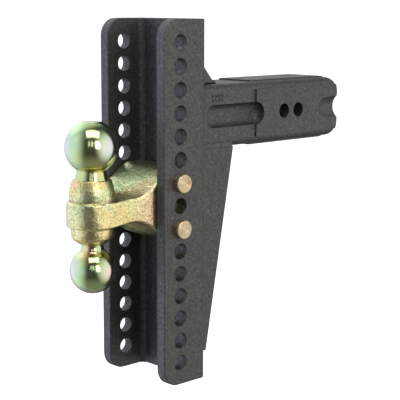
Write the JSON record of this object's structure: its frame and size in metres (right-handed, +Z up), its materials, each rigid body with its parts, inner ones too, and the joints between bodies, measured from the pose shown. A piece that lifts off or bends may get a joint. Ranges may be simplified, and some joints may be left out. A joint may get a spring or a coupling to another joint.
{
  "type": "adjustable trailer hitch mount",
  "caption": "Drop channel hitch mount with a square receiver shank and a pinned forged head that carries a large ball on top and a smaller ball below.",
  "frame": {"origin": "centre of the shank's hitch-pin bore nearer to the channel", "axes": "+X across the vehicle along the pins, +Y along the shank into the receiver, +Z up"},
  "size_m": [0.1307, 0.3933, 0.4064],
  "materials": {
    "channel": "textured black powder coat",
    "shank": "textured black powder coat",
    "drop_leg": "textured black powder coat",
    "top_gusset": "textured black powder coat",
    "weld": "weld bead under black powder coat",
    "head_forging": "rough forged steel, yellow zinc plated",
    "ball": "turned steel, yellow zinc plated with green and pink lustre",
    "pin": "pale yellow zinc plate",
    "clip": "bright zinc plated spring wire"
  },
  "bodies": {
    "mount": {"channel": "channel", "shank": "shank", "drop_leg": "drop_leg", "top_gusset": "top_gusset", "shank_weld_left": "weld", "shank_weld_right": "weld", "leg_weld_left": "weld", "leg_weld_right": "weld", "leg_side_weld_left": "weld", "leg_side_weld_right": "weld", "gusset_weld_left": "weld", "gusset_weld_right": "weld", "leg_foot_weld": "weld", "leg_top_weld": "weld", "gusset_foot_weld": "weld", "head_forging": "head_forging", "upper_ball": "ball", "lower_ball": "ball"},
    "upper_pin": {"upper_pin": "pin"},
    "lower_pin": {"lower_pin": "pin"},
    "upper_clip": {"upper_clip": "clip"},
    "lower_clip": {"lower_clip": "clip"}
  },
  "joints": [
    {"name": "upper_pin_slide", "type": "slide", "parent": "mount", "child": "upper_pin", "axis": [1, 0, 0], "range_m": [0, 0.003]},
    {"name": "lower_pin_slide", "type": "slide", "parent": "mount", "child": "lower_pin", "axis": [1, 0, 0], "range_m": [0, 0.003]},
    {"name": "upper_clip_pull", "type": "slide", "parent": "upper_pin", "child": "upper_clip", "axis": [0, 1, 0], "range_m": [0, 0.045]},
    {"name": "lower_clip_pull", "type": "slide", "parent": "lower_pin", "child": "lower_clip", "axis": [0, 1, 0], "range_m": [0, 0.045]}
  ]
}
